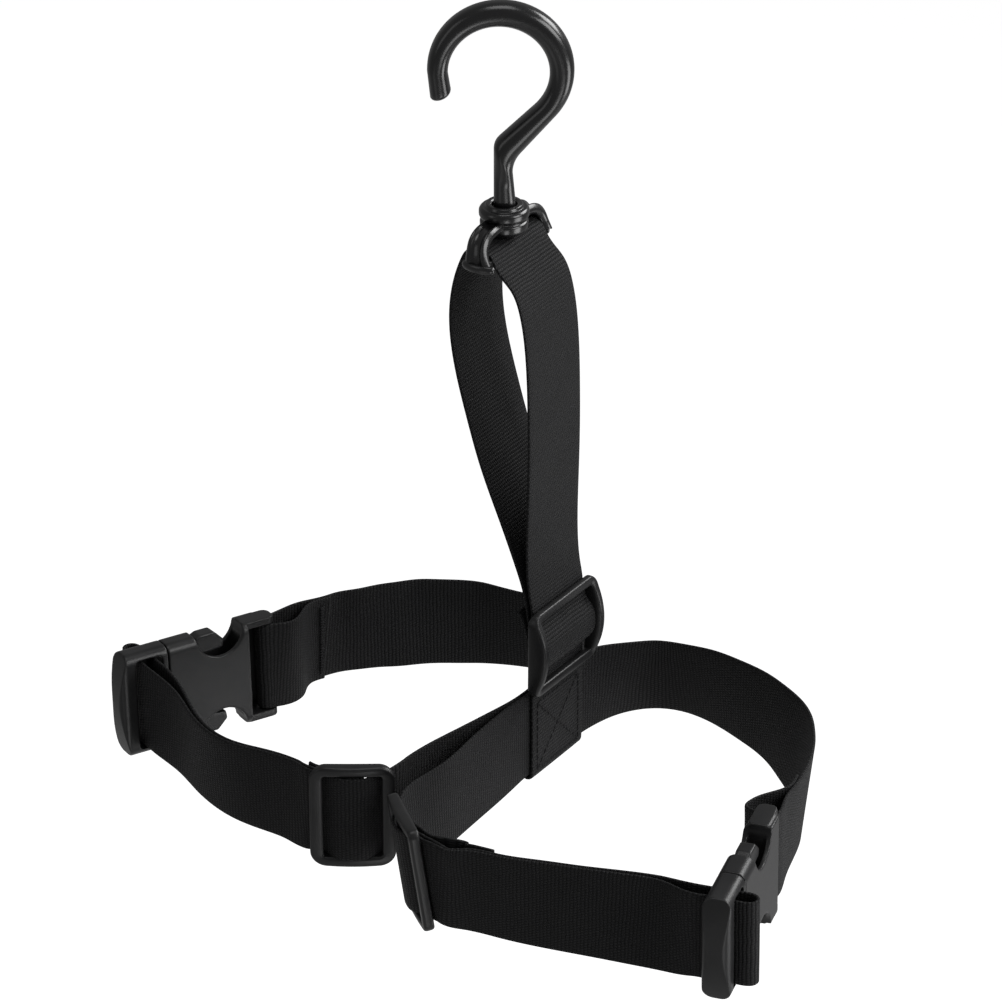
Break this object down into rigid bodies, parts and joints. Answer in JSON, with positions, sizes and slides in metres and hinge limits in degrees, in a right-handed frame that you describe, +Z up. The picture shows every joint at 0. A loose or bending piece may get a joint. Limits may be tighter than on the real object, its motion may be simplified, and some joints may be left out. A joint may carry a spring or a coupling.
{
  "type": "no pull harness",
  "caption": "Two-loop webbing harness with side release buckles and sliding adjusters, hanging from a swivel hook on a doubled hanger strap.",
  "frame": {"origin": "seat of the hook: the point under its crown that rests on a rail", "axes": "+Z up through the swivel; +X from the left loop to the right loop; +Y along the webbing bar of the swivel base, towards the back"},
  "size_m": [0.3158, 0.2011, 0.3303],
  "materials": {
    "gloss_black_plastic": "gloss",
    "satin_black_plastic": "satin",
    "black_webbing": "woven",
    "black_thread": "woven"
  },
  "bodies": {
    "hook_body": {"hook": "gloss_black_plastic"},
    "swivel_body": {"swivel_base": "gloss_black_plastic"},
    "harness_body": {"hanger_strap": "black_webbing", "hanger_tri_glide": "satin_black_plastic", "hanger_glide_bar_tack": "black_thread", "junction_stitching": "black_thread", "left_loop_strap": "black_webbing", "left_doubled_ply": "black_webbing", "left_tri_glide": "satin_black_plastic", "left_glide_bar_tack": "black_thread", "left_socket_bar_tack": "black_thread", "left_female_buckle": "satin_black_plastic", "right_loop_strap": "black_webbing", "right_doubled_ply": "black_webbing", "right_tri_glide": "satin_black_plastic", "right_glide_bar_tack": "black_thread", "right_socket_bar_tack": "black_thread", "right_female_buckle": "satin_black_plastic"},
    "left_male_body": {"left_male_buckle": "satin_black_plastic", "left_male_web_turn": "black_webbing"},
    "right_male_body": {"right_male_buckle": "satin_black_plastic", "right_male_web_turn": "black_webbing"},
    "left_upper_arm_body": {"left_upper_latch_arm": "satin_black_plastic"},
    "left_lower_arm_body": {"left_lower_latch_arm": "satin_black_plastic"},
    "right_upper_arm_body": {"right_upper_latch_arm": "satin_black_plastic"},
    "right_lower_arm_body": {"right_lower_latch_arm": "satin_black_plastic"}
  },
  "joints": [
    {"name": "hook_swivel", "type": "hinge", "parent": "hook_body", "child": "swivel_body", "pos_m": [0, 0, -0.0753], "axis": [0, 0, 1], "continuous": true},
    {"name": "hanger_swing", "type": "hinge", "parent": "swivel_body", "child": "harness_body", "pos_m": [0, 0, -0.0919], "axis": [0, 1, 0], "range_deg": [-15, 15]},
    {"name": "left_buckle_slide", "type": "slide", "parent": "harness_body", "child": "left_male_body", "axis": [-0.45, -0.893, 0], "range_m": [0, 0.034], "deforming": ["left_upper_latch_arm", "left_lower_latch_arm"]},
    {"name": "right_buckle_slide", "type": "slide", "parent": "harness_body", "child": "right_male_body", "axis": [0.2348, -0.9711, -0.0419], "range_m": [0, 0.034], "deforming": ["right_upper_latch_arm", "right_lower_latch_arm"]},
    {"name": "left_upper_latch", "type": "hinge", "parent": "left_male_body", "child": "left_upper_arm_body", "pos_m": [-0.11544, -0.07289, -0.27864], "axis": [-0.8918, 0.4494, -0.0523], "range_deg": [0, 10], "stiffness_Nm_per_rad": 0.4},
    {"name": "left_lower_latch", "type": "hinge", "parent": "left_male_body", "child": "left_lower_arm_body", "pos_m": [-0.11415, -0.07354, -0.30621], "axis": [0.8918, -0.4494, 0.0523], "range_deg": [0, 10], "stiffness_Nm_per_rad": 0.4},
    {"name": "right_upper_latch", "type": "hinge", "parent": "right_male_body", "child": "right_upper_arm_body", "pos_m": [0.16587, -0.09964, -0.28114], "axis": [-0.972, -0.235, 0], "range_deg": [0, 10], "stiffness_Nm_per_rad": 0.4},
    {"name": "right_lower_latch", "type": "hinge", "parent": "right_male_body", "child": "right_lower_arm_body", "pos_m": [0.1656, -0.09852, -0.30872], "axis": [0.972, 0.235, 0], "range_deg": [0, 10], "stiffness_Nm_per_rad": 0.4}
  ]
}
